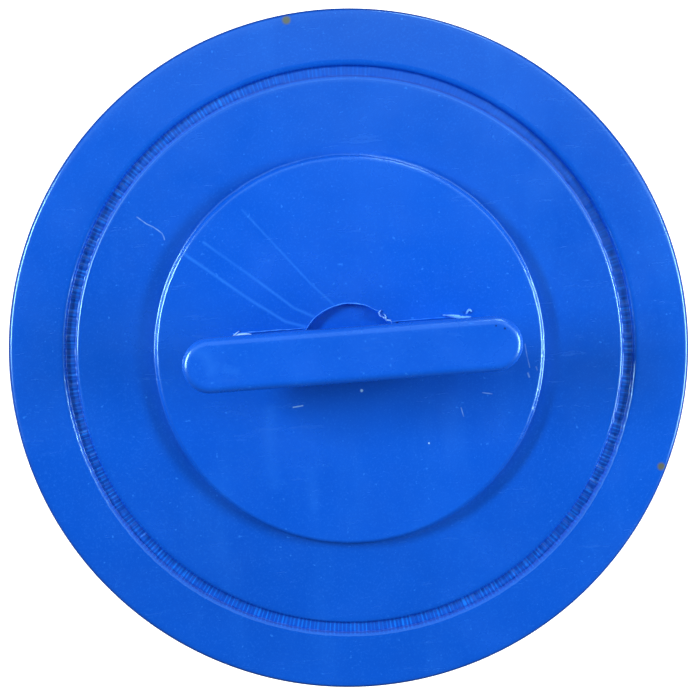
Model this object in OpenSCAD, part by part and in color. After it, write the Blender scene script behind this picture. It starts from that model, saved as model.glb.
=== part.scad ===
// Pool and spa filter cartridge: closed top with a handle, threaded outlet at the bottom.
// Stands on the end ring of its outlet nipple. +Z is up, the handle lies along X.

/* [End caps] */
// Outside diameter of both end caps
cap_d = 216; // [200:1:240]
// Height from the bottom cap's seating face to the top cap's face
body_h = 180; // [150:1:260]
// Height of each cast end cap
cap_h = 14; // [12:0.5:18]
// Rounding of the end caps' outer edge
rim_round = 2; // [1:0.5:4]
// Middle radius of the stand-off groove
groove_r = 88.1; // [86:0.1:89]
// Width of the stand-off groove
groove_w = 3.2; // [2.3:0.1:4]
// Depth of the stand-off groove
groove_depth = 1.8; // [1.8:0.1:4]
// Rounding of the groove's inner lip
groove_lip_in = 1.5; // [0.4:0.1:1.7]
// Rounding of the groove's outer lip
groove_lip_out = 1.5; // [0.4:0.1:1.7]

/* [Centre plate] */
// Diameter of the raised centre plate
plate_d = 122; // [110:1:130]
// Height of the plate above the end cap's face
plate_rise = 3.5; // [3:0.5:6]
// Rounding of the plate's upper edge
plate_round = 1.2; // [0.5:0.1:3]
// Radius of the half-round pocket beside the handle
pocket_r = 15.8; // [12:0.1:18]
// Depth of the half-round pocket
pocket_depth = 2.2; // [0.5:0.1:3]

/* [Handle] */
// Length of the grip
grip_l = 103; // [95:1:115]
// Width of the grip
grip_w = 16.6; // [14:0.1:20]
// Thickness of the grip
grip_t = 9; // [7:0.5:12]
// Height of the grip's top above the centre plate
grip_rise = 26; // [22:0.5:32]
// Rounding of the grip's long edges
grip_round = 2.3; // [1:0.1:3]
// Length of the web under the grip
web_l = 72; // [60:1:73]
// Thickness of the web
web_t = 7; // [5:0.5:9]

/* [Pleated media] */
// Number of pleats
pleat_count = 216; // [160:1:220]
// Radius over the outer folds
pleat_r_out = 101; // [95:0.5:103]
// Radius inside the inner folds
pleat_r_in = 42; // [42:0.5:50]
// Thickness of the filter sheet
sheet_t = 0.35; // [0.25:0.05:0.4]
// How deep the pleats are potted in each end cap
pot_depth = 9.5; // [5:0.5:10]
// Width of the retaining bands
band_w = 12; // [8:1:16]
// Thickness of the retaining bands
band_t = 0.8; // [0.5:0.1:1.2]

/* [Core] */
// Inside diameter of the core tube
core_id = 70; // [66:1:72]
// Outside diameter of the core tube
core_od = 76; // [74:1:80]
// Number of window columns around the core
core_columns = 12; // [8:1:14]
// Number of window rows along the core
core_rows = 7; // [5:1:8]

/* [Outlet adapter] */
// Outside diameter of the nipple and its thread crests
nipple_od = 60.3; // [59:0.1:61]
// Inside diameter of the nipple
nipple_id = 50; // [46:1:52]
// Length of the nipple below the bottom cap
nipple_l = 25; // [20:1:32]
// Length of the plain shank above the thread
shank_l = 6; // [4:0.5:8]
// Thread pitch
thread_pitch = 2.209; // [2:0.001:3]
// Depth of the thread
thread_depth = 1.4; // [1:0.1:1.6]

/* [Hidden] */
$fn = 96;
cut = 1;
resin_blue = [0.05, 0.30, 0.82];
media_white = [0.92, 0.93, 0.92];
cap_r = cap_d / 2;
seat_z = nipple_l;
top_z = seat_z + body_h;

// Centre plate: sunk part, locking flange, handle slot and how far back the pocket's centre lies
plate_r = plate_d / 2;
plate_top_z = top_z + plate_rise;
plate_sink = 2.5;
plate_key_w = 3;
plate_key_t = 1.2;
slot_l = web_l + 2;
slot_w = 14.6;
slot_gap = 0.3;
pocket_back = 1.1;

// Handle stations
grip_top_z = plate_top_z + grip_rise;
grip_low_z = grip_top_z - grip_t;
root_drop = 0.5;
foot_l = 76;
foot_w = 34;
foot_t = 2.5;
foot_hole_r = 3.5;
foot_top_z = top_z - plate_sink;

// Media stations and the proportions of one fold
media_z0 = seat_z + cap_h - pot_depth;
media_z1 = top_z - cap_h + pot_depth;
fold_out_gap = 0.9;
fold_in_gap = 0.12;
seam_angle = 360 / pleat_count * round(pleat_count * 0.25);
seam_share = 0.45;
band_spacing = 76;
media_mid_z = (media_z0 + media_z1) / 2;

// Core stations
core_z0 = seat_z + 7;
core_z1 = top_z - 6;
core_window_w = 11;
core_window_h = 14;
core_end_ring = 16;

// Adapter flange, spigot and locking notches
flange_r = 38.5;
flange_t = 3;
flange_z0 = core_z0 - flange_t;
neck_r = nipple_od / 2 + 1;
spigot_h = 7;
spigot_clear = 0.1;
notch_count = 8;
notch_w = 6;
notch_depth = 3;

// Outline of an end cap from its inner face up to its outer face, with a rounded rim
module cap_outline(r_inner) {
    difference() {
        translate([r_inner, 0]) square([cap_r - r_inner, cap_h]);
        translate([cap_r, cap_h]) corner_cutter(rim_round);
        translate([groove_r - groove_w / 2, cap_h - groove_depth]) square([groove_w, groove_depth + cut]);
        translate([groove_r - groove_w / 2, cap_h]) corner_cutter(groove_lip_in);
        translate([groove_r + groove_w / 2, cap_h]) mirror([1, 0]) corner_cutter(groove_lip_out);
    }
}

// What a fillet of radius r takes off the upper right corner that sits on the origin
module corner_cutter(r) {
    difference() {
        translate([-r, -r]) square([r + cut, r + cut]);
        translate([-r, -r]) circle(r);
    }
}

// Points of the folded sheet's two faces; spread is the tangential distance from the fold's middle
function fold_point(r, angle, spread) = [
    r * cos(angle + spread / r * 180 / PI),
    r * sin(angle + spread / r * 180 / PI)
];

function outer_face() = [
    for (i = [0:pleat_count - 1])
        let (a = 360 / pleat_count, tip = fold_out_gap / 2 + sheet_t, dip = fold_in_gap / 2)
            each [
                fold_point(pleat_r_out, i * a, -tip),
                fold_point(pleat_r_out, i * a, tip),
                fold_point(pleat_r_in + sheet_t, (i + 0.5) * a, -dip),
                fold_point(pleat_r_in + sheet_t, (i + 0.5) * a, dip)
            ]
];

function inner_face() = [
    for (i = [0:pleat_count - 1])
        let (a = 360 / pleat_count, tip = fold_out_gap / 2, dip = fold_in_gap / 2 + sheet_t)
            each [
                fold_point(pleat_r_out - sheet_t, i * a, -tip),
                fold_point(pleat_r_out - sheet_t, i * a, tip),
                fold_point(pleat_r_in, (i + 0.5) * a, -dip),
                fold_point(pleat_r_in, (i + 0.5) * a, dip)
            ]
];

module folded_sheet() {
    translate([0, 0, media_z0])
        linear_extrude(media_z1 - media_z0)
            difference() {
                polygon(outer_face());
                polygon(inner_face());
            }
}

// Point on the inner face of a pleat's leg, share 0 at the outer fold and 1 at the inner fold
function leg_point(share, side) =
    let (
        outer = fold_point(pleat_r_out - sheet_t, 0, side * fold_out_gap / 2),
        inner = fold_point(pleat_r_in, side * 180 / pleat_count, -side * (fold_in_gap / 2 + sheet_t))
    )
    outer + (inner - outer) * share;

// Glue line that fills the outer part of one pleat, between its two legs
module seam_bar() {
    translate([0, 0, seat_z + cap_h])
        rotate([0, 0, seam_angle])
            linear_extrude(body_h - 2 * cap_h)
                polygon([leg_point(0, -1), leg_point(0, 1), leg_point(seam_share, 1), leg_point(seam_share, -1)]);
}

module ring(r_out, r_in, h) {
    difference() {
        cylinder(h = h, r = r_out);
        translate([0, 0, -cut]) cylinder(h = h + 2 * cut, r = r_in);
    }
}

module core_body() {
    translate([0, 0, core_z0]) ring(core_od / 2, core_id / 2, core_z1 - core_z0);
}

module core_windows() {
    rows_z0 = core_z0 + core_end_ring;
    row_pitch = (core_z1 - core_z0 - 2 * core_end_ring - core_window_h) / (core_rows - 1);
    for (row = [0:core_rows - 1])
        for (column = [0:core_columns - 1])
            rotate([0, 0, column * 360 / core_columns])
                translate([core_id / 4, -core_window_w / 2, rows_z0 + row * row_pitch])
                    cube([core_od / 2, core_window_w, core_window_h]);
}

// Raised plate with a locking flange that the cast resin grips
module plate_body() {
    rotate_extrude()
        difference() {
            union() {
                translate([0, foot_top_z]) square([plate_r, plate_top_z - foot_top_z]);
                translate([0, foot_top_z]) square([plate_r + plate_key_w, plate_key_t]);
            }
            translate([plate_r, plate_top_z]) corner_cutter(plate_round);
        }
}

module slot_block(gap, z0, z1) {
    length = slot_l - 2 * gap;
    width = slot_w - 2 * gap;
    translate([-length / 2, -width / 2, z0]) cube([length, width, z1 - z0]);
}

module half_round_pocket() {
    translate([0, 0, plate_top_z - pocket_depth])
        intersection() {
            translate([0, -pocket_back, 0]) cylinder(h = pocket_depth + cut, r = pocket_r);
            translate([-pocket_r, 0, 0]) cube([2 * pocket_r, pocket_r, pocket_depth + cut]);
        }
}

module handle_foot() {
    translate([-foot_l / 2, -foot_w / 2, foot_top_z - foot_t])
        difference() {
            cube([foot_l, foot_w, foot_t]);
            for (x = [foot_l / 8, foot_l * 3 / 8, foot_l * 5 / 8, foot_l * 7 / 8])
                for (y = [foot_w / 5, foot_w * 4 / 5])
                    translate([x, y, -cut]) cylinder(h = foot_t + 2 * cut, r = foot_hole_r);
        }
}

// Half of the grip's cross-section, from its middle plane outwards
module grip_half_section() {
    difference() {
        square([grip_w / 2, grip_t]);
        translate([grip_w / 2, grip_t]) corner_cutter(grip_round);
        translate([grip_w / 2, 0]) mirror([0, 1]) corner_cutter(grip_round / 2);
    }
}

module grip() {
    span = grip_l - grip_w;
    translate([0, 0, grip_low_z]) {
        for (side = [-1, 1])
            translate([side * span / 2, 0, 0]) rotate_extrude() grip_half_section();
        translate([-span / 2, 0, 0])
            rotate([90, 0, 90])
                linear_extrude(span) {
                    grip_half_section();
                    mirror([1, 0]) grip_half_section();
                }
    }
}

module handle_web() {
    z0 = plate_top_z - root_drop - cut;
    h = grip_low_z + cut - z0;
    span = web_l - web_t;
    for (side = [-1, 1])
        translate([side * span / 2, 0, z0]) cylinder(h = h, r = web_t / 2);
    translate([-span / 2, -web_t / 2, z0]) cube([span, web_t, h]);
}

module handle_body() {
    handle_foot();
    slot_block(slot_gap, foot_top_z - cut, plate_top_z - root_drop);
    handle_web();
    grip();
}

// Nipple, potted flange with locking notches, and the spigot that centres the core
module adapter_body() {
    difference() {
        union() {
            thread_l = nipple_l - shank_l;
            cylinder(h = thread_l + cut, r = nipple_od / 2 - thread_depth);
            translate([0, 0, thread_l]) cylinder(h = shank_l, r = nipple_od / 2);
            translate([0, 0, seat_z]) cylinder(h = flange_z0 - seat_z + cut, r = neck_r);
            translate([0, 0, flange_z0]) cylinder(h = flange_t, r = flange_r);
            translate([0, 0, core_z0 - cut])
                cylinder(h = spigot_h + cut, r = core_id / 2 - spigot_clear);
        }
        translate([0, 0, -cut]) cylinder(h = core_z0 + spigot_h + 2 * cut, r = nipple_id / 2);
        for (i = [0:notch_count - 1])
            rotate([0, 0, i * 360 / notch_count])
                translate([flange_r - notch_depth, -notch_w / 2, flange_z0 - cut])
                    cube([notch_depth + cut, notch_w, flange_t + cut]);
    }
}

// One ring of the thread's section at a given step around the helix
function thread_section(i, steps, seg, r_root, r_crest) =
    let (
        fade = min(1, min(i, steps - i) / seg),
        r_top = r_root + 0.35 + (r_crest - r_root - 0.35) * fade,
        a = 360 * i / seg,
        z = thread_pitch * i / seg,
        half_root = thread_pitch * 0.46,
        half_crest = thread_pitch * 0.1
    )
    [
        [r_root * cos(a), r_root * sin(a), z - half_root],
        [r_top * cos(a), r_top * sin(a), z - half_crest],
        [r_top * cos(a), r_top * sin(a), z + half_crest],
        [r_root * cos(a), r_root * sin(a), z + half_root]
    ];

// Right-hand helical ridge, rooted 0.3 mm inside the nipple's wall
module thread_ridge() {
    seg = 32;
    z_first = 2;
    turns = floor((nipple_l - shank_l - 2 * z_first) / thread_pitch);
    steps = turns * seg;
    r_root = nipple_od / 2 - thread_depth - 0.3;
    r_crest = nipple_od / 2 - 0.05;
    points = [for (i = [0:steps]) each thread_section(i, steps, seg, r_root, r_crest)];
    sides = [
        for (i = [0:steps - 1])
            for (k = [0:3])
                let (a = 4 * i + k, b = 4 * i + (k + 1) % 4)
                    each [[a, b, b + 4], [a, b + 4, a + 4]]
    ];
    ends = [[3, 2, 1, 0], [4 * steps, 4 * steps + 1, 4 * steps + 2, 4 * steps + 3]];
    translate([0, 0, z_first]) polyhedron(points, concat(sides, ends));
}

module top_end_cap() {
    color(resin_blue)
        difference() {
            translate([0, 0, top_z - cap_h]) rotate_extrude() cap_outline(0);
            plate_body();
            handle_foot();
            core_body();
            folded_sheet();
        }
}

module centre_plate() {
    color(resin_blue)
        difference() {
            plate_body();
            slot_block(0, foot_top_z - cut, plate_top_z + cut);
            half_round_pocket();
        }
}

module handle() {
    color(resin_blue) handle_body();
}

module pleated_media() {
    color(media_white) folded_sheet();
}

module media_seam() {
    color([0.95, 0.93, 0.82]) seam_bar();
}

module upper_band() {
    color(media_white)
        translate([0, 0, media_mid_z + band_spacing / 2 - band_w / 2])
            ring(pleat_r_out + band_t, pleat_r_out, band_w);
}

module lower_band() {
    color(media_white)
        translate([0, 0, media_mid_z - band_spacing / 2 - band_w / 2])
            ring(pleat_r_out + band_t, pleat_r_out, band_w);
}

module core_tube() {
    color([0.88, 0.89, 0.90])
        difference() {
            core_body();
            core_windows();
        }
}

module bottom_end_cap() {
    color(resin_blue)
        difference() {
            translate([0, 0, seat_z + cap_h]) mirror([0, 0, 1]) rotate_extrude() cap_outline(nipple_id / 2);
            translate([0, 0, core_z0]) cylinder(h = cap_h, r = core_od / 2);
            adapter_body();
            folded_sheet();
        }
}

module threaded_adapter() {
    color(resin_blue) {
        adapter_body();
        thread_ridge();
    }
}

top_end_cap();
centre_plate();
handle();
pleated_media();
media_seam();
upper_band();
lower_band();
core_tube();
bottom_end_cap();
threaded_adapter();
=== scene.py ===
from math import asin, atan2, cos, degrees, pi, radians, sin, sqrt

import bpy
import numpy as np
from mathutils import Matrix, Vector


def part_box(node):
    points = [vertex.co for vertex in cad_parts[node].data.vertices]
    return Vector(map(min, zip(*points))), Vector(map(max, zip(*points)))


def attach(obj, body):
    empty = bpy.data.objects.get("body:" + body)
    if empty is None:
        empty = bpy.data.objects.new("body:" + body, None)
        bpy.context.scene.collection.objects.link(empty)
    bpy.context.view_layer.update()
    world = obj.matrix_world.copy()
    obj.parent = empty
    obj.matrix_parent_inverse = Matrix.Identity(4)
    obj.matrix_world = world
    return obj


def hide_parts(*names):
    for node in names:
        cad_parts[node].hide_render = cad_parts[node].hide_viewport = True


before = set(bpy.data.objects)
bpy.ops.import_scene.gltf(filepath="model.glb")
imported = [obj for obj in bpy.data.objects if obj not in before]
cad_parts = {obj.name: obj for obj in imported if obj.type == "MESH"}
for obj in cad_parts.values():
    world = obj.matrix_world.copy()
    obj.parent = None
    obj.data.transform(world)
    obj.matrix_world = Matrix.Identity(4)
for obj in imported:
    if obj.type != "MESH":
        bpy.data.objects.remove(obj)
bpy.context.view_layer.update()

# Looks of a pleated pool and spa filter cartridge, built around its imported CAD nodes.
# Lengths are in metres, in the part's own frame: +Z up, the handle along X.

MM = 0.001
TAU = 2 * pi
RNG = np.random.default_rng(41)

# Stations read from the frame
CAP_LOW, CAP_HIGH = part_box("top_end_cap")
BASE_LOW, BASE_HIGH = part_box("bottom_end_cap")
PLATE_LOW, PLATE_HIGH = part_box("centre_plate")
HANDLE_LOW, HANDLE_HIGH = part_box("handle")
MEDIA_LOW, MEDIA_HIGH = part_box("pleated_media")
BAND_LOW, BAND_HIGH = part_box("upper_band")
LOWER_BAND_LOW, LOWER_BAND_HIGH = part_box("lower_band")
CORE_LOW, CORE_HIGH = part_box("core_tube")
ADAPTER_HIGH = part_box("threaded_adapter")[1]

CAP_R = CAP_HIGH.x
TOP_Z = CAP_HIGH.z
SEAT_Z = BASE_LOW.z
MEDIA_R = MEDIA_HIGH.x
CORE_R = CORE_HIGH.x
FLANGE_R = ADAPTER_HIGH.x

# End caps: the groove is a little off centre, and resin drowns the pleats' ends on one side of it
CAP_H = CAP_HIGH.z - CAP_LOW.z
RIM_ROUND = 1.9 * MM
GROOVE_R = 88.1 * MM
GROOVE_W = 3.2 * MM
GROOVE_DEPTH = 1.8 * MM
GROOVE_LEAN = 0.54 * MM
GROOVE_CORNER = 0.35 * MM
LIP = 1.5 * MM
FLANGE_LEAN = 0.9 * MM
LEAN_TURN = radians(110)
DROWNED_TURN = radians(56)
MARK_HEIGHT = 0.13 * MM
FLOOR_WAVER = 0.06 * MM
LIP_SCALLOP = 0.10 * MM
FACE_SWELL = 0.05 * MM
FACE_SINK = 0.12 * MM
POUR_EDGE = 0.10 * MM
BEAD_R = 0.85 * MM
BEAD_SUNK = 0.35 * MM
PLEATS = 216
CAP_SEGMENTS = PLEATS * 8

# Centre plate and handle
PLATE_R = 61.0 * MM
PLATE_ROUND = 1.2 * MM
PLATE_KEY_T = 1.2 * MM
PLATE_SEGMENTS = 720
SLOT_L = 74.0 * MM
SLOT_W = 14.6 * MM
SLOT_GAP = 0.3 * MM
SLOT_CORNER = 0.8 * MM
POCKET_R = 15.8 * MM
POCKET_BACK = 1.1 * MM
POCKET_DEPTH = 2.2 * MM
PLATE_WOBBLE = 0.06 * MM
FLASH_REACH = 36.4 * MM
FLASH_LIFT = 0.75 * MM
FLASH_WAVER = 0.06 * MM
GRIP_T = 9.0 * MM
GRIP_W = 16.6 * MM
GRIP_ROUND = 2.3 * MM
GRIP_LOW_ROUND = 1.1 * MM
WEB_L = 72.0 * MM
WEB_T = 7.0 * MM
WEB_FILLET = 1.6 * MM
FOOT_L = 76.0 * MM
FOOT_W = 34.0 * MM

# Folded sheet and bands
SHEET_T = 0.35 * MM
PLEAT_R_IN = 42.0 * MM
FOLD_OUT_GAP = 0.9 * MM
FOLD_IN_GAP = 0.12 * MM
MEDIA_RINGS = 22
POTTED = 6 * MM
SWAY = 0.42 * MM
TUCK = 0.30 * MM
STRAP_WAVER = 0.35 * MM
STRAP_DIP = 0.16 * MM
LAP_TURN = radians(11)

# Core
CORE_COLUMNS = 12
CORE_ROWS = 7
CORE_WALL = 3 * MM
WINDOW_W = 11 * MM
WINDOW_H = 14 * MM
WINDOW_CORNER = 2.0 * MM
END_RING = 16 * MM

# Outlet adapter
NIPPLE_R = 30.15 * MM
BORE_R = 25.0 * MM
SHANK_L = 6.0 * MM
THREAD_PITCH = 2.209 * MM
THREAD_DEPTH = 1.4 * MM
THREAD_PLAY = 0.06 * MM
FLANGE_T = 3.0 * MM
FLANGE_LOW = CORE_LOW.z - FLANGE_T
NECK_R = NIPPLE_R + 1.0 * MM
CHAMFER = 0.9 * MM
SPIGOT_EDGE = 0.8 * MM

# Stage, and a camera that is nearly straight above the handle, turned a little about the axis
SURROUND = (0.82, 0.93, 1.0, 1)
SURROUND_STRENGTH = 0.08
FLOOR_GLOW = 0.46
FLOOR_HALF = 3.0
CAMERA_HEIGHT = 600 * MM
CAMERA_OFFSET = (-16.4 * MM, 34.8 * MM)
CAMERA_TURN = radians(-4.3)
VIEW_WIDTH = 220.7 * MM
SENSOR = 36.0


# ---- mesh helpers

def finish_shading(piece, sharp_deg=35):
    """Smooth faces, with a sharp edge wherever the surface turns by more than sharp_deg."""
    mesh = piece.data
    mesh.polygons.foreach_set("use_smooth", [True] * len(mesh.polygons))
    mesh.set_sharp_from_angle(angle=radians(sharp_deg))


def add_object(name, data):
    new = bpy.data.objects.new(name, data)
    bpy.context.scene.collection.objects.link(new)
    return new


def mesh_object(name, verts, faces, sharp_deg=35):
    mesh = bpy.data.meshes.new(name)
    mesh.from_pydata(np.asarray(verts).tolist(), [], faces)
    mesh.validate()
    piece = add_object(name, mesh)
    finish_shading(piece, sharp_deg)
    return piece


def grid_faces(rows, columns, wrap_rows=False, wrap_columns=True):
    """Quads over a grid whose vertices are counted row by row."""
    faces = []
    for i in range(rows if wrap_rows else rows - 1):
        here, there = i * columns, (i + 1) % rows * columns
        for j in range(columns if wrap_columns else columns - 1):
            k = (j + 1) % columns
            faces.append((here + j, here + k, there + k, there + j))
    return faces


def arc(r, z, radius, start_deg, end_deg, count):
    """Points of a circle's arc in the (r, z) plane."""
    angles = np.radians(np.linspace(start_deg, end_deg, count))
    return [(r + radius * cos(a), z + radius * sin(a)) for a in angles]


def line(start, end, count):
    """Points from start towards end, without the end itself."""
    start, end = np.array(start), np.array(end)
    return [tuple(start + (end - start) * k / count) for k in range(count)]


def corners(half_x, half_y, radius, count):
    """A rectangle's outline of rounded corners whose centres are half_x and half_y from the middle."""
    points = []
    for quarter, (sx, sy) in enumerate(((1, 1), (-1, 1), (-1, -1), (1, -1))):
        for a in np.radians(np.linspace(0, 90, count)) + quarter * TAU / 4:
            points.append((sx * half_x + radius * cos(a), sy * half_y + radius * sin(a)))
    return np.array(points)


def round_points(r, angle, z):
    """Points at radius r and height z, one for each angle."""
    return np.column_stack([r * np.cos(angle), r * np.sin(angle), np.broadcast_to(z, np.shape(angle))])


def turned(name, profile, segments, shape=None, sharp_deg=35):
    """A closed solid of revolution from a profile of (r, z) points.

    A profile that starts and ends on the axis gets a pole at each end; any other is a closed ring.
    shape(r, angle, z) may return changed r and z for the whole grid of points.
    """
    profile = np.array(profile)
    poles = profile[0, 0] < 1e-9
    if poles:
        ends, profile = profile[[0, -1]], profile[1:-1]
    rows = len(profile)
    angle = np.arange(segments) * TAU / segments
    r, angle = np.meshgrid(profile[:, 0], angle, indexing="ij")
    z = np.repeat(profile[:, 1][:, None], segments, axis=1)
    if shape:
        r, z = shape(r, angle, z)
    verts = round_points(r.ravel(), angle.ravel(), z.ravel())
    faces = grid_faces(rows, segments, wrap_rows=not poles)
    if poles:
        first, last = rows * segments, rows * segments + 1
        verts = np.vstack([verts, [[0, 0, ends[0][1]], [0, 0, ends[1][1]]]])
        top = (rows - 1) * segments
        for j in range(segments):
            k = (j + 1) % segments
            faces.append((first, k, j))
            faces.append((last, top + j, top + k))
    return mesh_object(name, verts, faces, sharp_deg)


def smooth_noise(angle, waves, amplitude, seed):
    """A periodic function of the angle made of a few waves with random phases."""
    rng = np.random.default_rng(seed)
    total = np.zeros_like(angle)
    for count in waves:
        total += rng.uniform(0.4, 1.0) * np.sin(count * angle + rng.uniform(0, TAU))
    return amplitude * total / sqrt(len(waves))


def smoothstep(low, high, value):
    t = np.clip((value - low) / (high - low), 0, 1)
    return t * t * (3 - 2 * t)


def modify(piece, kind, **settings):
    new = piece.modifiers.new(kind.lower(), kind)
    for key, value in settings.items():
        setattr(new, key, value)


def bake_modifiers(piece):
    """Turns the modifiers' result into the piece's own mesh."""
    graph = bpy.context.evaluated_depsgraph_get()
    mesh = bpy.data.meshes.new_from_object(piece.evaluated_get(graph))
    piece.modifiers.clear()
    piece.data = mesh


def combine(piece, other, operation="DIFFERENCE"):
    """Cuts the other object away from the piece, or joins or intersects them; the other is used up."""
    modify(piece, "BOOLEAN", operation=operation, object=other, solver="EXACT")
    bake_modifiers(piece)
    bpy.data.objects.remove(other)


# ---- material helpers

def node(tree, kind, values=None, **settings):
    """Adds a shader node; values holds its inputs, each a constant or another node's socket."""
    new = tree.nodes.new("ShaderNode" + kind)
    for key, value in settings.items():
        setattr(new, key, value)
    for key, value in (values or {}).items():
        if isinstance(value, bpy.types.NodeSocket):
            tree.links.new(value, new.inputs[key])
        else:
            new.inputs[key].default_value = value
    return new


def calc(tree, operation, a, b=0.0):
    """A sum or other operation on one or two numbers."""
    return node(tree, "Math", {0: a, 1: b}, operation=operation).outputs[0]


def times(tree, a, b):
    return calc(tree, "MULTIPLY", a, b)


def apart(tree, a, b):
    """How far two numbers are from each other."""
    return calc(tree, "ABSOLUTE", calc(tree, "SUBTRACT", a, b))


def vector(tree, operation, a, b=(0, 0, 0), key=1):
    """A vector operation's result: a number for a length, a distance or a dot product."""
    outputs = node(tree, "VectorMath", {0: a, key: b}, operation=operation).outputs
    return outputs["Value" if operation in ("LENGTH", "DISTANCE", "DOT_PRODUCT") else "Vector"]


def from_axis(tree, position):
    """The position without its height, and its distance from the axis."""
    flat = vector(tree, "MULTIPLY", position, (1, 1, 0))
    return flat, vector(tree, "LENGTH", flat)


def component(tree, socket, axis):
    return node(tree, "SeparateXYZ", {0: socket}).outputs[axis]


def mapped(tree, value, low, high, to_low=0, to_high=1):
    """Carries the range low to high over to another, and stops at its ends."""
    values = {"Value": value, "From Min": low, "From Max": high, "To Min": to_low, "To Max": to_high}
    return node(tree, "MapRange", values).outputs["Result"]


def noise(tree, position, scale, detail=3.0, roughness=0.5, stretch=None):
    if stretch:
        position = node(tree, "Mapping", {"Vector": position, "Scale": stretch}).outputs[0]
    values = {"Vector": position, "Scale": scale, "Detail": detail, "Roughness": roughness}
    return node(tree, "TexNoise", values).outputs["Fac"]


def mixed(tree, factor, a, b):
    """Colour b over colour a; sockets 6, 7 and 2 are the colour ones of this node."""
    return node(tree, "Mix", {0: factor, 6: a, 7: b}, data_type="RGBA").outputs[2]


def srgb(red, green, blue):
    """A colour given as 0 to 255 screen values, made linear."""
    def linear(value):
        value /= 255
        return value / 12.92 if value <= 0.04045 else ((value + 0.055) / 1.055) ** 2.4
    return (linear(red), linear(green), linear(blue), 1.0)


def new_material(name, **constants):
    """A material with one Principled shader; constants set its unlinked inputs."""
    material = bpy.data.materials.new(name)
    material.use_nodes = True
    tree = material.node_tree
    shader = tree.nodes["Principled BSDF"]
    for key, value in constants.items():
        shader.inputs[key.replace("_", " ")].default_value = value
    position = node(tree, "TexCoord").outputs["Object"]
    return material, tree, shader, position


def feed(tree, shader, colour, rough, layers):
    """Links the shader's inputs; layers are stacked bumps, each (height, strength, distance in metres)."""
    tree.links.new(colour, shader.inputs["Base Color"])
    tree.links.new(rough, shader.inputs["Roughness"])
    normal = None
    for height, strength, distance in layers:
        values = {"Height": height, "Strength": strength, "Distance": distance}
        if normal:
            values["Normal"] = normal
        normal = node(tree, "Bump", values).outputs["Normal"]
    tree.links.new(normal, shader.inputs["Normal"])


def path_mask(tree, position, path, width):
    """1 on a path of (x, y) points, falling to 0 at width from it; height is left out."""
    nearest = None
    for (x0, y0), (x1, y1) in zip(path[:-1], path[1:]):
        start = np.array((x0, y0, 0.0))
        run = np.array((x1, y1, 0.0)) - start
        length = float(np.linalg.norm(run))
        along = tuple(run / length)
        offset = vector(tree, "SUBTRACT", position, tuple(start))
        flat = vector(tree, "MULTIPLY", offset, (1, 1, 0))
        reach = mapped(tree, vector(tree, "DOT_PRODUCT", flat, along), 0, length, 0, length)
        foot = vector(tree, "SCALE", along, reach, "Scale")
        near = mapped(tree, vector(tree, "DISTANCE", flat, foot), 0, width, 1, 0)
        nearest = calc(tree, "MAXIMUM", nearest, near) if nearest else near
    return nearest


def spot_mask(tree, position, centre, radius):
    """1 in the inner half of a round spot, falling to 0 at its radius."""
    reach = vector(tree, "LENGTH", vector(tree, "SUBTRACT", position, centre))
    return mapped(tree, reach, radius * 0.5, radius, 1, 0)


# ---- materials; the noises' scales are in cells per metre

BLUE = srgb(4, 79, 194)
BLUE_DEEP = srgb(3, 74, 186)
BLUE_PALE = srgb(44, 128, 238)
BLUE_LINE = srgb(10, 116, 236)
BLUE_SHADE = srgb(1, 50, 168)
BLUE_WHITE = srgb(140, 192, 244)
BLUE_NIGHT = srgb(2, 34, 110)
SHEEN_BLUE = (0.42, 0.86, 1.0, 1.0)
DEPOSIT = srgb(86, 92, 84)


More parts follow.
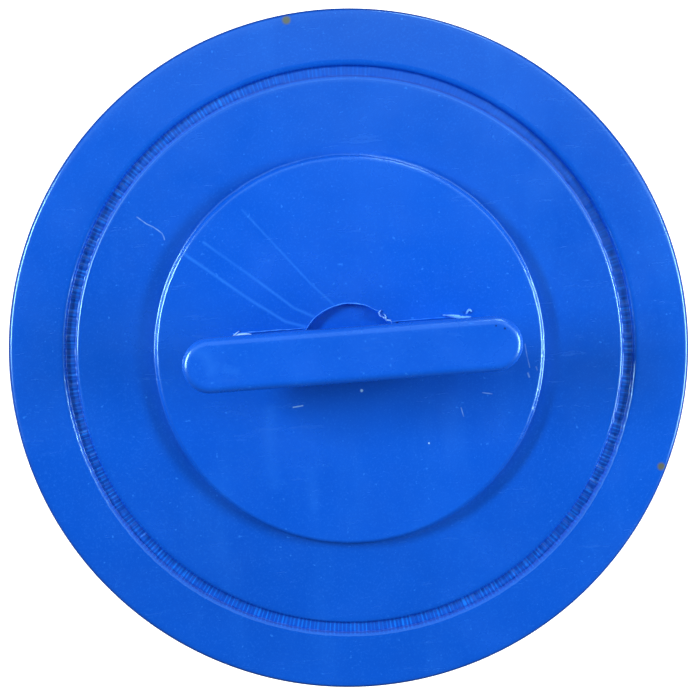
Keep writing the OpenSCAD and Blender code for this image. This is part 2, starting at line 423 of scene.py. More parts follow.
def blue_plastic(name, roughness, tones=(BLUE_DEEP, BLUE), flows=(), scratches=(), gap_shades=(), spots=(),
                 crumbs=(), pit_shades=(), ribbed=False):
    """Satin mid-blue plastic: slight cloudiness, orange peel, handling scuffs and pale specks.

    flows are faint fill lines and scratches sharper ones; dark lines of painted shade in narrow gaps follow
    them. Each is (path, width, strength).
    spots are brown deposits and crumbs white dust; the dark dots paint the shade in small pits. Each is
    (centre, radius).
    ribbed adds what only the end caps have: the groove's pleat lines, its lips, painted shade in the groove
    and a painted shade line on the rim.
    """
    material, tree, shader, position = new_material(
        name, IOR=1.56, Specular_IOR_Level=1.0, Specular_Tint=SHEEN_BLUE)
    cloud = mapped(tree, noise(tree, position, 22, 4, 0.55), 0.35, 0.65)
    colour = mixed(tree, cloud, *tones)
    streaks = mapped(tree, noise(tree, position, 26, 4, 0.6, stretch=(1.6, 0.45, 1.0)), 0.56, 0.74, 0, 0.10)
    grain = mapped(tree, noise(tree, position, 1500, 2, 0.6), 0.52, 0.74, 0, 0.16)
    dust = mapped(tree, noise(tree, position, 650, 1, 0.5), 0.735, 0.79, 0, 0.40)
    scuff = mapped(tree, noise(tree, position, 60, 6, 0.7, stretch=(1.0, 6.0, 1.0)), 0.60, 0.72)
    for veil in (streaks, grain, dust, times(tree, scuff, 0.06)):
        colour = mixed(tree, veil, colour, BLUE_PALE)
    fading = mapped(tree, noise(tree, position, 55, 2), 0.35, 0.6, 0.45, 1)
    broken = mapped(tree, noise(tree, position, 350, 3), 0.30, 0.62, 0.25, 1)
    # The last kind of line is painted shade in narrow gaps.
    for marks, ink, wear in ((flows, BLUE_PALE, fading), (scratches, BLUE_WHITE, broken),
                             (gap_shades, BLUE_NIGHT, 1.0)):
        for path, width, strength in marks:
            shown = times(tree, path_mask(tree, position, path, width), strength)
            colour = mixed(tree, times(tree, shown, wear), colour, ink)
    # The dark dots are painted shade in small pits.
    for dots, ink in ((spots, DEPOSIT), (crumbs, BLUE_WHITE), (pit_shades, BLUE_NIGHT)):
        for centre, radius in dots:
            colour = mixed(tree, spot_mask(tree, position, centre, radius), colour, ink)
    rough = mapped(tree, noise(tree, position, 45, 5, 0.6), 0.3, 0.7, roughness - 0.05, roughness + 0.07)
    rough = calc(tree, "ADD", rough, times(tree, scuff, 0.10))
    layers = []
    if ribbed:
        # The groove's inside and the foot of its walls are painted darker as shade.
        ribs, share, inside, wall, crest = groove_ribs(tree, position)
        # The rim's steep outer round gets a painted shade line.
        for mask, strength, ink in ((inside, 0.28, BLUE_SHADE), (share, 0.85, BLUE_LINE),
                                    (wall, 0.60, BLUE_SHADE), (painted_rim_shade(tree, position), 0.65, BLUE_NIGHT)):
            colour = mixed(tree, times(tree, mask, strength), colour, ink)
        layers.append((ribs, 0.2, 0.06 * MM))
        dull = calc(tree, "MAXIMUM", dull_lip(tree, position), times(tree, inside, 0.12))
        rough = calc(tree, "ADD", rough, times(tree, dull, 0.74))
        rough = calc(tree, "SUBTRACT", rough, times(tree, crest, 0.05))
    peel = noise(tree, position, 700, 3, 0.5)
    ripple = noise(tree, position, 60, 2, 0.4)
    layers += [(ripple, 0.25, 0.4 * MM), (peel, 0.12, 0.05 * MM)]
    feed(tree, shader, colour, rough, layers)
    return material


def turn_noise(tree, angle, scale):
    """Noise along the turn about the axis; scale is in cells per radian."""
    return node(tree, "TexNoise", {"W": angle, "Scale": scale, "Detail": 2.0},
                noise_dimensions="1D").outputs["Fac"]


def groove_ribs(tree, position):
    """What shows in the groove, each 1 where it is full.

    These are the height of the fine lines across its floor, their colour share, the groove's inside,
    the foot of its walls and the crests of its lips. The inside and the foot of the walls carry painted
    shade.
    """
    flat, reach = from_axis(tree, position)
    angle = calc(tree, "ARCTAN2", component(tree, flat, "Y"), component(tree, flat, "X"))
    leaning = calc(tree, "COSINE", calc(tree, "SUBTRACT", angle, LEAN_TURN))
    centred = calc(tree, "ADD", reach, times(tree, leaning, GROOVE_LEAN))
    off = apart(tree, centred, GROOVE_R)
    half = GROOVE_W / 2
    inside = mapped(tree, off, half + 0.1 * MM, half + 0.6 * MM, 1, 0)
    wall = mapped(tree, apart(tree, off, half - 0.1 * MM), 0.15 * MM, 0.5 * MM, 1, 0)
    crest = mapped(tree, apart(tree, off, half + LIP / 2), LIP / 2, LIP * 0.8, 1, 0)
    fine = turn_noise(tree, angle, 95.0)
    # Two lines for each pleat, one for each of its legs
    place = calc(tree, "ADD", times(tree, angle, 2 * PLEATS / TAU), times(tree, fine, 0.9))
    thin = mapped(tree, apart(tree, calc(tree, "FRACT", place), 0.5), 0.07, 0.24, 1, 0)
    thin = times(tree, thin, mapped(tree, turn_noise(tree, angle, 26.0), 0.36, 0.60, 0.35, 1))
    drowned = calc(tree, "COSINE", calc(tree, "SUBTRACT", angle, DROWNED_TURN))
    thin = times(tree, thin, mapped(tree, drowned, 0.55, 0.95, 1, 0.15))
    return times(tree, fine, inside), times(tree, thin, inside), inside, wall, crest


def surface_normal(tree, axis):
    return component(tree, node(tree, "NewGeometry").outputs["Normal"], axis)


def painted_rim_shade(tree, position):
    """Painted shade along the steep outer part of the cap's rounded rim, all the way round."""
    upright = calc(tree, "ABSOLUTE", surface_normal(tree, "Z"))
    steep = mapped(tree, upright, 0.52, 0.88, 1, 0)
    outer = mapped(tree, from_axis(tree, position)[1], CAP_R - 3 * MM, CAP_R - 2.5 * MM)
    high = mapped(tree, component(tree, position, "Z"), TOP_Z - 2.6 * MM, TOP_Z - 1.6 * MM)
    return times(tree, times(tree, steep, outer), high)


def dull_lip(tree, position):
    """The groove's lips that face the back, where smeared resin has dulled them."""
    off = apart(tree, from_axis(tree, position)[1], GROOVE_R)
    near = mapped(tree, off, 4 * MM, 6 * MM, 1, 0)
    return times(tree, near, mapped(tree, surface_normal(tree, "Y"), 0.10, 0.32))


def fabric(name, colour, shade, dimple_scale, roughness):
    """White spunbond polyester: random fibres, a slightly uneven density and soft fuzz."""
    material, tree, shader, position = new_material(name, Sheen_Weight=0.25, Sheen_Roughness=0.5)
    density = noise(tree, position, 160, 5, 0.65)
    fibre_a = noise(tree, position, 900, 4, 0.7, stretch=(1, 1, 0.12))
    fibre_b = noise(tree, position, 900, 4, 0.7, stretch=(0.15, 0.15, 1))
    fibres = calc(tree, "MAXIMUM", fibre_a, fibre_b)
    base = mixed(tree, mapped(tree, density, 0.3, 0.7), shade, colour)
    base = mixed(tree, mapped(tree, fibres, 0.55, 0.75, 0, 0.35), base, srgb(252, 252, 250))
    rough = mapped(tree, density, 0.2, 0.8, roughness + 0.08, roughness - 0.08)
    cells = node(tree, "TexVoronoi", {"Vector": position, "Scale": dimple_scale})
    feed(tree, shader, base, rough, [(density, 0.3, 0.15 * MM), (cells.outputs["Distance"], 0.25, 0.06 * MM),
                                     (fibres, 0.5, 0.08 * MM)])
    return material


def clouded(name, scale, tones, rough, bump, **constants):
    """Plain moulded or melted plastic: clouds of two tones, uneven gloss and one layer of bumps."""
    material, tree, shader, position = new_material(name, **constants)
    cloud = noise(tree, position, scale, 4, 0.6)
    bump_scale, strength, distance = bump
    colour = mixed(tree, mapped(tree, cloud, 0.3, 0.7), *tones)
    height = noise(tree, position, bump_scale, 3)
    feed(tree, shader, colour, mapped(tree, cloud, 0.2, 0.8, *rough), [(height, strength, distance)])
    return material


# ---- end caps

PLEAT_JITTER = RNG.normal(0, 0.09, PLEATS)
PLEAT_HEIGHT = RNG.uniform(0.35, 1.0, PLEATS)
PLEAT_HALF = RNG.uniform(0.22, 0.34, PLEATS)


def pleat_marks(angle, seed):
    """Height share of the pleat ends that show through the thin resin at the groove's floor."""
    rng = np.random.default_rng(seed)
    jitter, height = np.roll(PLEAT_JITTER, seed), np.roll(PLEAT_HEIGHT, seed)
    half = np.roll(PLEAT_HALF, seed)
    lean = rng.normal(0, 0.04, PLEATS)
    place = angle / TAU * PLEATS
    index = np.floor(place + 0.5).astype(int) % PLEATS
    off = place - np.round(place) - jitter[index] - lean[index]
    drowned = smoothstep(0.35, 0.95, np.cos(angle - DROWNED_TURN))
    shown = smoothstep(half[index] + 0.20, half[index] - 0.06, np.abs(off))
    return height[index] * shown * (1 - 0.85 * drowned)


def cap_profile(face_z, up, r_start, r_low):
    """Profile of an end cap from its axis side, over the outer face and rim, to the inner face.

    up is 1 when the outer face looks up and -1 when it looks down. The outer face starts at
    r_start and the inner face ends at r_low.
    """
    groove_in, groove_out = GROOVE_R - GROOVE_W / 2, GROOVE_R + GROOVE_W / 2
    corner = GROOVE_CORNER
    floor_z = -GROOVE_DEPTH
    points = line((r_start, 0), (groove_in - LIP - 4 * MM, 0), 8)
    points += line((groove_in - LIP - 4 * MM, 0), (groove_in - LIP, 0), 5)
    wall_end = degrees(asin((LIP - GROOVE_DEPTH + corner + 0.05 * MM) / LIP))
    points += arc(groove_in - LIP, -LIP, LIP, 90, wall_end, 12)
    points += arc(groove_in + corner, floor_z + corner, corner, 180, 270, 4)
    points += line((groove_in + corner + 0.2 * MM, floor_z), (groove_out - corner, floor_z), 9)
    points += arc(groove_out - corner, floor_z + corner, corner, 270, 360, 4)
    points += line((groove_out, floor_z + corner + 0.05 * MM), (groove_out, -LIP), 2)
    points += arc(groove_out + LIP, -LIP, LIP, 180, 90, 7)
    wall_r = CAP_R - 0.05 * MM
    points += line((groove_out + LIP + 0.5 * MM, 0), (wall_r - RIM_ROUND, 0), 8)
    points += arc(wall_r - RIM_ROUND, -RIM_ROUND, RIM_ROUND, 90, 0, 12)
    points += line((wall_r, -RIM_ROUND - 1 * MM), (CAP_R - 0.1 * MM, -CAP_H + 1.2 * MM), 6)
    points += arc(CAP_R - 0.9 * MM, -CAP_H + 0.8 * MM, 0.8 * MM, 0, -90, 5)
    points += line((CAP_R - 1.6 * MM, -CAP_H), (r_low, -CAP_H), 6)
    points += [(r_low, -CAP_H)]
    return [(r, face_z + up * z) for r, z in points]


def cap_shape(face_z, up, seed):
    """Unevenness of a cast cap: pleat marks in the groove, a wavy face and a ragged pour edge.

    The groove is off centre, and the flange is narrower at the back than at the front.
    """
    def shape(r, angle, z):
        depth = up * (face_z - z)
        floor = smoothstep(GROOVE_DEPTH - 0.35 * MM, GROOVE_DEPTH - 0.1 * MM, depth)
        within = smoothstep(GROOVE_W / 2, GROOVE_W / 2 - 0.5 * MM, np.abs(r - GROOVE_R))
        bulk = depth < GROOVE_DEPTH + 0.5 * MM
        marks = pleat_marks(angle + 6e-4 * np.sin(r / (0.4 * MM)), seed)
        waver = smooth_noise(angle, (31, 47, 74, 113), FLOOR_WAVER, seed + 3)
        z = z + up * floor * within * bulk * (MARK_HEIGHT * marks + waver)
        near = smoothstep(7 * MM, 3.5 * MM, np.abs(r - GROOVE_R)) * bulk
        r = r - near * GROOVE_LEAN * np.cos(angle - LEAN_TURN)
        outer_lip = np.exp(-(((r - GROOVE_R - GROOVE_W / 2 - 0.4 * MM) / (0.9 * MM)) ** 2)) * bulk
        scallop = smooth_noise(angle, (29, 53, 97, 151), LIP_SCALLOP, seed + 5)
        side = smoothstep(-0.2, 0.9, -np.sin(angle))
        r = r + outer_lip * scallop * (0.3 + side)
        face = smoothstep(0.3 * MM, 0.0, depth) * bulk
        swell = smooth_noise(angle, (2, 3, 5, 8), FACE_SWELL, seed + 7)
        z = z - up * face * (swell + FACE_SINK)
        pour = smoothstep(CAP_H - 2.2 * MM, CAP_H - 0.4 * MM, depth)
        outside = smoothstep(CAP_R - 2 * MM, CAP_R - 0.5 * MM, r)
        ragged = smooth_noise(angle, (37, 83, 139, 233, 311), POUR_EDGE, seed + 9)
        r = r - pour * outside * np.maximum(ragged + POUR_EDGE, 0)
        flange = smoothstep(GROOVE_R + 5 * MM, CAP_R - 3 * MM, r)
        r = r - flange * FLANGE_LEAN * (0.5 + 0.5 * np.cos(angle - LEAN_TURN))
        return r, z
    return shape


def make_top_cap():
    """The cap with the plate's seat in its middle and the groove that shows the pleats' ends."""
    profile = [(0, PLATE_LOW.z)] + line((2 * MM, PLATE_LOW.z), (PLATE_R - 1 * MM, PLATE_LOW.z), 4)
    profile += [(PLATE_R - 1 * MM, PLATE_LOW.z), (PLATE_R - 1 * MM, TOP_Z - 0.4 * MM)]
    profile += cap_profile(TOP_Z, 1, PLATE_R - 0.6 * MM, 2 * MM) + [(0, CAP_LOW.z)]
    return turned("top_cap", profile[::-1], CAP_SEGMENTS, cap_shape(TOP_Z, 1, 11))


def make_meniscus():
    """The small hollow bead that the poured resin left where it climbs the plate's edge."""
    inner, outer = PLATE_R - BEAD_SUNK, PLATE_R + BEAD_R
    profile = [(inner, TOP_Z - BEAD_SUNK), (outer, TOP_Z - BEAD_SUNK)]
    profile += arc(outer, TOP_Z + BEAD_R - 0.12 * MM, BEAD_R, 270, 180, 8)
    profile += [(inner, TOP_Z + BEAD_R - 0.12 * MM)]

    def shape(r, angle, z):
        swell = smooth_noise(angle, (3, 7, 17, 41), 0.10 * MM, 61)
        toe = smoothstep(PLATE_R, outer, r)
        return r + toe * swell, z + (z > TOP_Z + 0.2 * MM) * swell
    return turned("plate_meniscus", profile, PLATE_SEGMENTS, shape)


def make_bottom_cap():
    """The cap round the adapter's neck and flange, which seats on the outlet's fitting."""
    ring = cap_profile(SEAT_Z, -1, NECK_R, CORE_R)
    inner = line((CORE_R, BASE_HIGH.z), (CORE_R, CORE_LOW.z), 2)
    inner += line((CORE_R, CORE_LOW.z), (NECK_R, FLANGE_LOW), 3)
    return turned("bottom_cap", ring + inner, CAP_SEGMENTS, cap_shape(SEAT_Z, -1, 27))


# ---- centre plate and handle

def stadium(half_straight, radius):
    """Points round a slot-shaped outline along X, counter-clockwise."""
    right = arc(half_straight, 0, radius, -90, 90, 20)
    left = [(-x, -y) for x, y in right]
    steps = 12
    top = line((half_straight, radius), (-half_straight, radius), steps)[1:]
    bottom = line((-half_straight, -radius), (half_straight, -radius), steps)[1:]
    return np.array(right + top + left + bottom)


def lofted(name, rings, sharp_deg=30):
    """A closed solid through rings of equal point counts, each (outline, z), with flat ends."""
    columns = len(rings[0][0])
    verts = np.vstack([np.column_stack([outline, np.full(columns, z)]) for outline, z in rings])
    faces = grid_faces(len(rings), columns)
    faces.append(tuple(range(columns))[::-1])
    faces.append(tuple(range((len(rings) - 1) * columns, len(rings) * columns)))
    return mesh_object(name, verts, faces, sharp_deg)


def rounded_block(name, length, width, z_low, z_high, corner, edge=0.0):
    """An upright block with rounded corners and, with an edge, a small round on its upper edge."""
    rings = [(corner, z_low)]
    rings += arc(corner - edge, z_high - edge, edge, 0, 90, 5) if edge else [(corner, z_high)]
    half_x, half_y = length / 2 - corner, width / 2 - corner
    return lofted(name, [(corners(half_x, half_y, reach, 6), z) for reach, z in rings])


def make_plate():
    """The raised disc with the key ring at its foot, the handle's slot and the half-round pocket."""
    key_r, low, top = PLATE_HIGH.x, PLATE_LOW.z, PLATE_HIGH.z
    profile = [(0, low), (key_r, low), (key_r, low + PLATE_KEY_T)]
    profile += [(PLATE_R, low + PLATE_KEY_T + 0.05 * MM), (PLATE_R, top - PLATE_ROUND - 1 * MM)]
    profile += arc(PLATE_R - PLATE_ROUND, top - PLATE_ROUND, PLATE_ROUND, 0, 90, 9)
    profile += line((PLATE_R - PLATE_ROUND - 0.5 * MM, top), (0, top), 10)
    profile += [(0, top)]

    def uneven(r, angle, z):
        wobble = smooth_noise(angle, (3, 7, 19, 43, 89), PLATE_WOBBLE, 19)
        edge = smoothstep(PLATE_R - 3 * MM, PLATE_R - 0.5 * MM, r) * (r < PLATE_R + 0.1 * MM)
        return r + edge * (wobble - 0.05 * MM), z

    plate = turned("hub_plate", profile, PLATE_SEGMENTS, uneven)
    combine(plate, rounded_block("slot", SLOT_L, SLOT_W, low - 1 * MM, top + 1 * MM, SLOT_CORNER))
    floor = top - POCKET_DEPTH
    pocket = turned("pocket", [
        (0, floor), (POCKET_R - 0.5 * MM, floor), (POCKET_R - 0.1 * MM, floor + 0.4 * MM),
        (POCKET_R + 0.1 * MM, top + 1 * MM), (0, top + 1 * MM)], 96)
    pocket.data.transform(Matrix.Translation((0, -POCKET_BACK, 0)))
    keep = rounded_block("keep", 4 * POCKET_R, 2 * POCKET_R, low, top + 2 * MM, 0.1 * MM)
    keep.data.transform(Matrix.Translation((0, POCKET_R, 0)))
    combine(pocket, keep, "INTERSECT")
    combine(plate, pocket)
    finish_shading(plate)
    return plate


def ridge_line(name, path, width, height, seed, rough=0.35):
    """A thin irregular ridge of flash that follows a path of (x, y) points on the plate."""
    path = np.array(path)
    rng = np.random.default_rng(seed)
    steps = len(path)
    tangent = np.gradient(path, axis=0)
    tangent /= np.linalg.norm(tangent, axis=1)[:, None]
    side = np.column_stack([-tangent[:, 1], tangent[:, 0]])
    knots = np.linspace(0, 1, max(6, steps // 4))
    place = np.linspace(0, 1, steps)
    tall = height * (1 - rough + rough * np.interp(place, knots, rng.uniform(-1, 1.6, len(knots))))
    wide = width * (1 - rough / 2 + rough * np.interp(place, knots, rng.uniform(-0.6, 1, len(knots))))
    ends = np.minimum(1, np.minimum(np.arange(steps), np.arange(steps)[::-1]) / 3) * 0.9 + 0.1
    tall, wide = np.maximum(tall * ends, 0.02 * MM), wide * ends
    section = ((-0.5, -0.4), (-0.35, 0.6), (0.0, 1.0), (0.35, 0.6), (0.5, -0.4))
    verts = []
    for k in range(steps):
        for across, up in section:
            x, y = path[k] + side[k] * across * wide[k]
            verts.append((x, y, PLATE_HIGH.z + up * tall[k]))
    faces = grid_faces(steps, len(section))
    faces.append(tuple(range(len(section))))
    faces.append(tuple(range((steps - 1) * len(section), steps * len(section)))[::-1])
    return mesh_object(name, verts, faces, 60)


def curve(*points):
    """A smooth path of evenly shared steps through (x, y) points given in millimetres."""
    knots = np.array(points) * MM
    place = np.linspace(0, len(knots) - 1, 5 * len(knots))
    rounded = [np.interp(place, np.arange(len(knots)), knots[:, k]) for k in (0, 1)]
    path = np.column_stack(rounded)
    path[1:-1] = (path[:-2] + 2 * path[1:-1] + path[2:]) / 4
    return path


def make_flash():
    """Thin fins of resin that crept round the handle's slot and the half-round pocket."""
    edge_y = SLOT_W / 2 + 0.10 * MM
    reach = sqrt(POCKET_R ** 2 - (edge_y + POCKET_BACK) ** 2)
    rng = np.random.default_rng(77)

    def straight(x0, x1, count, side=1):
        x = np.linspace(x0, x1, count)
        y = edge_y + np.interp(x, np.linspace(x0, x1, 9), rng.normal(0, FLASH_WAVER, 9))
        return np.column_stack([x, side * y])

    start = atan2(edge_y + POCKET_BACK, -reach)
    end = atan2(edge_y + POCKET_BACK, reach)
    a = np.linspace(start, end, 80)
    waver = np.interp(a, np.linspace(end, start, 14), rng.normal(0, FLASH_WAVER, 14))
    r = POCKET_R + 0.15 * MM + waver
    bow = np.column_stack([r * np.cos(a), r * np.sin(a) - POCKET_BACK])
    torn = a < radians(48)
    whole, rest = bow[~torn], bow[torn]
    rest = rest + np.column_stack([0.30 * MM * np.sin(np.linspace(0, 3 * TAU / 2, torn.sum()))] * 2)
    hook = curve((-37.2, 6.7), (-36.3, 7.3), (-35.2, 8.1), (-34.0, 8.9))
    blade = curve((-36.2, 7.2), (-34.6, 7.5), (-32.5, 7.7), (-30.2, 7.4))
    curl = curve((10.6, 12.0), (9.8, 11.2), (10.1, 10.2), (11.2, 9.6), (12.4, 8.4))
    burr = curve((29.6, 8.9), (31.0, 8.7), (33.6, 8.2), (36.0, 7.7), (38.6, 7.7))
    crumb = curve((37.0, 8.6), (37.6, 9.5), (38.2, 9.9), (39.0, 9.2))
    left = straight(-FLASH_REACH, -reach, 70) + (0, FLASH_LIFT)
    right = straight(reach, FLASH_REACH, 70) + (0, FLASH_LIFT)
    front = straight(-FLASH_REACH, FLASH_REACH, 110, -1)
    fins = (("flash_left", left, 0.36, 0.24, 3), ("flash_right", right, 0.32, 0.22, 5),
            ("flash_front", front, 0.30, 0.15, 7), ("flash_bow", whole, 0.40, 0.32, 9),
            ("flash_bow_end", rest, 0.46, 0.45, 10), ("flash_hook", hook, 0.42, 0.9, 11),
            ("flash_blade", blade, 0.95, 0.7, 12), ("flash_curl", curl, 0.50, 0.9, 14),
            ("flash_burr", burr, 1.0, 0.9, 13, 0.5), ("flash_crumb", crumb, 0.8, 1.1, 15, 0.5))
    return [ridge_line(name, path, width * MM, height * MM, *seed_and_rough)
            for name, path, width, height, *seed_and_rough in fins]


def make_handle():
    """The T bar with its web, the pad of resin in the slot and the anchor foot under the plate."""
    grip_r = GRIP_W / 2
    straight = HANDLE_HIGH.x - grip_r
    top, low = HANDLE_HIGH.z, HANDLE_HIGH.z - GRIP_T
    web_straight = WEB_L / 2 - WEB_T / 2
    root_r = WEB_T / 2 + WEB_FILLET
    grip = [(grip_r * share, top - 0.10 * MM * (1 - share) ** 2) for share in (0.08, 0.3, 0.6)]
    grip += arc(grip_r - GRIP_ROUND, top - GRIP_ROUND, GRIP_ROUND, 90, 0, 10)
    grip += arc(grip_r - GRIP_LOW_ROUND, low + GRIP_LOW_ROUND, GRIP_LOW_ROUND, 0, -90, 6)
    web = arc(root_r, low - WEB_FILLET, WEB_FILLET, 90, 180, 7)
    web += arc(root_r, PLATE_HIGH.z - 0.3 * MM + WEB_FILLET, WEB_FILLET, 180, 270, 7)
    web += [(root_r + 0.1 * MM, PLATE_HIGH.z - 1.5 * MM)]
    rings = [(stadium(straight, r), z) for r, z in grip] + [(stadium(web_straight, r), z) for r, z in web]
    handle = lofted("t_handle", rings[::-1], 40)
    combine(handle, rounded_block("pad", SLOT_L - 2 * SLOT_GAP, SLOT_W - 2 * SLOT_GAP, PLATE_LOW.z - 1 * MM,
                                  PLATE_HIGH.z - 0.45 * MM, SLOT_CORNER, 0.25 * MM), "UNION")
    combine(handle, rounded_block("foot", FOOT_L, FOOT_W, HANDLE_LOW.z, PLATE_LOW.z, 1.0 * MM), "UNION")
    finish_shading(handle)
    return handle


# ---- folded media and bands

def fold_centreline():
    """One pleat's centreline as (distance from the axis, tangential offset) pairs.

    It runs from the middle of one inner fold over the outer fold to the middle of the next.
    """
    half_pitch_in = pi * PLEAT_R_IN / PLEATS
    tip_r = FOLD_OUT_GAP / 2 + SHEET_T / 2
    dip_r = FOLD_IN_GAP / 2 + SHEET_T / 2
    out_c = MEDIA_R - SHEET_T / 2 - tip_r
    in_c = PLEAT_R_IN + SHEET_T / 2 + dip_r
    rising = []
    for a in np.radians(np.linspace(0, 75, 4)):
        rising.append((in_c - dip_r * cos(a), -half_pitch_in + dip_r * sin(a)))
    leg_low = (in_c, -half_pitch_in * in_c / PLEAT_R_IN + dip_r)
    leg_high = (out_c, -tip_r)
    rising += line(leg_low, leg_high, 4)
    for a in np.radians(np.linspace(180, 90, 5)):
        rising.append((out_c + tip_r * sin(a), tip_r * cos(a)))
    falling = [(r, -s) for r, s in rising[::-1][1:-1]]
    return np.array(rising + falling)


def make_media():
    """The folded sheet: every fold a little out of line, except where a band or a cap holds it."""
    path = fold_centreline()
    band_mid = [(BAND_LOW.z + BAND_HIGH.z) / 2, (LOWER_BAND_LOW.z + LOWER_BAND_HIGH.z) / 2]
    held = [MEDIA_LOW.z + POTTED, MEDIA_HIGH.z - POTTED] + band_mid
    rng = np.random.default_rng(5)
    sway = rng.normal(0, SWAY, (PLEATS, 3))
    sway = (sway + np.roll(sway, 1, axis=0) * 0.6) / 1.2
    tuck = np.abs(rng.normal(0, TUCK, PLEATS))
    phase = rng.uniform(0, TAU, PLEATS)
    tip = smoothstep(PLEAT_R_IN + 8 * MM, MEDIA_R, path[:, 0])
    rings = []
    for z in np.linspace(MEDIA_LOW.z, MEDIA_HIGH.z, MEDIA_RINGS):
        nearest = min(abs(z - h) for h in held)
        free = float(smoothstep(6 * MM, 22 * MM, nearest))
        span = int(np.searchsorted(sorted(held), z)) % 3
        for i in range(PLEATS):
            sag = sway[i, span] * free + 0.10 * MM * sin(phase[i] + z / (9 * MM)) * free
            r = path[:, 0] - tip * tuck[i] * (0.35 + 0.65 * free)
            offset = path[:, 1] + tip * sag
            angle = i * TAU / PLEATS + offset / path[:, 0]
            rings.append(round_points(r, angle, z))
    faces = grid_faces(MEDIA_RINGS, PLEATS * len(path))
    media = mesh_object("folded_media", np.vstack(rings), faces, 60)
    modify(media, "SOLIDIFY", thickness=SHEET_T, offset=0)
    bake_modifiers(media)
    return media


def make_band(name, low, high, turn):
    """A welded strap that runs from fold to fold; its lapped end on the outside is made by make_lap."""
    width = high.z - low.z
    columns = PLEATS * 4
    angle = np.arange(columns) * TAU / columns
    strap_t = (high.x - MEDIA_R) * 0.5
    outer = MEDIA_R + strap_t - STRAP_DIP * (1 - np.cos(angle * PLEATS))
    waver = smooth_noise(angle, (1, 2, 5, 9), STRAP_WAVER, turn)
    shares = (0.03, 0.25, 0.5, 0.75, 0.97)
    section = [(0, share) for share in shares] + [(0.5, 1)]
    section += [(1, share) for share in shares[::-1]] + [(0.5, 0)]
    rings = []
    for depth, share in section:
        z = low.z + 0.4 * MM + (width - 0.8 * MM) * share + waver
        rings.append(round_points(outer - depth * strap_t * 0.9, angle, z))
    return mesh_object(name, np.vstack(rings), grid_faces(len(section), columns, wrap_rows=True), 50)


def make_lap(name, low, high, turn):
    """The strap's free end, welded down over its start with a row of pressed spots."""
    width = high.z - low.z
    thick = high.x - MEDIA_R
    rows, count = 17, 60
    angle = radians(turn) + np.linspace(0, LAP_TURN, count)
    base = MEDIA_R + thick * 0.48
    along = np.linspace(0, 1, count)
    weld = smoothstep(0.15, 0.3, along) * smoothstep(0.9, 0.75, along)
    waver = smooth_noise(angle, (1, 2, 5, 9), STRAP_WAVER, turn)
    outer, inner = [], []
    for share in np.linspace(0.0, 1.0, rows):
        z = low.z + 0.5 * MM + (width - 1.0 * MM) * share + waver
        spots = np.maximum(0, np.cos(angle * 220)) * max(0, cos((share - 0.5) * 6 * pi))
        outer.append(round_points(base + thick * 0.45 - STRAP_DIP * spots * weld, angle, z))
        inner.append(round_points(base, angle, z))
    verts = np.vstack(outer + inner[::-1])
    faces = grid_faces(2 * rows, count, wrap_rows=True, wrap_columns=False)
    for column in (0, count - 1):
        for i in range(rows - 1):
            a, b = i * count + column, (i + 1) * count + column
            c, d = (2 * rows - 2 - i) * count + column, (2 * rows - 1 - i) * count + column
            faces.append((a, b, c, d) if column == 0 else (d, c, b, a))
    return mesh_object(name, verts, faces, 50)


# ---- core and adapter

def make_core():
    """The perforated tube: a skin with rounded windows, thickened inwards and softened."""
    low, high = CORE_LOW.z, CORE_HIGH.z
    pitch = (high - low - 2 * END_RING - WINDOW_H) / (CORE_ROWS - 1)
    half = WINDOW_W / 2 / CORE_R
    cell = TAU / CORE_COLUMNS
    window = corners(WINDOW_W / 2 - WINDOW_CORNER, WINDOW_H / 2 - WINDOW_CORNER, WINDOW_CORNER, 5)
    verts, faces = [], []

    def ring_of(points):
        start = len(verts)
        verts.extend((CORE_R * cos(a), CORE_R * sin(a), z) for a, z in points)
        return list(range(start, len(verts)))

    for row in range(CORE_ROWS):
        middle_z = low + END_RING + row * pitch + WINDOW_H / 2
        bottom = low if row == 0 else middle_z - pitch / 2
        top = high if row == CORE_ROWS - 1 else middle_z + pitch / 2
        for column in range(CORE_COLUMNS):
            middle = column * cell
            inner = [(middle + x / CORE_R, middle_z + y) for x, y in window]
            outer = []
            for a, z in inner:
                across, up = (a - middle) / half, (z - middle_z) / (WINDOW_H / 2)
                stretch = 1 / max(abs(across), abs(up))
                side = max(-1, min(1, across * stretch))
                rise = max(-1, min(1, up * stretch))
                edge_z = middle_z + rise * (top - middle_z if rise > 0 else middle_z - bottom)
                outer.append((middle + side * cell / 2, edge_z))
            share = [tuple((np.array(p) + np.array(q)) / 2) for p, q in zip(inner, outer)]
            rings = [ring_of(inner), ring_of(share), ring_of(outer)]
            count = len(inner)
            for near, far in zip(rings[:-1], rings[1:]):
                for k in range(count):
                    n = (k + 1) % count
                    faces.append((near[k], far[k], far[n], near[n]))
    core = mesh_object("core_cage", verts, faces, 60)
    modify(core, "WELD", merge_threshold=0.01 * MM)
    modify(core, "SUBSURF", levels=1, render_levels=1, subdivision_type="SIMPLE")
    bake_modifiers(core)
    put_on_round(core, CORE_R)
    modify(core, "SOLIDIFY", thickness=CORE_WALL, offset=-1)
    modify(core, "BEVEL", width=0.35 * MM, segments=2, limit_method="ANGLE", angle_limit=radians(50))
    bake_modifiers(core)
    finish_shading(core, 40)
    return core


def put_on_round(piece, radius):
    """Moves every vertex to the given distance from the axis."""
    mesh = piece.data
    flat = np.zeros(len(mesh.vertices) * 3)
    mesh.vertices.foreach_get("co", flat)
    points = flat.reshape(-1, 3)
    angle = np.arctan2(points[:, 1], points[:, 0])
    points[:, 0], points[:, 1] = radius * np.cos(angle), radius * np.sin(angle)
    mesh.vertices.foreach_set("co", points.ravel())
    mesh.update()


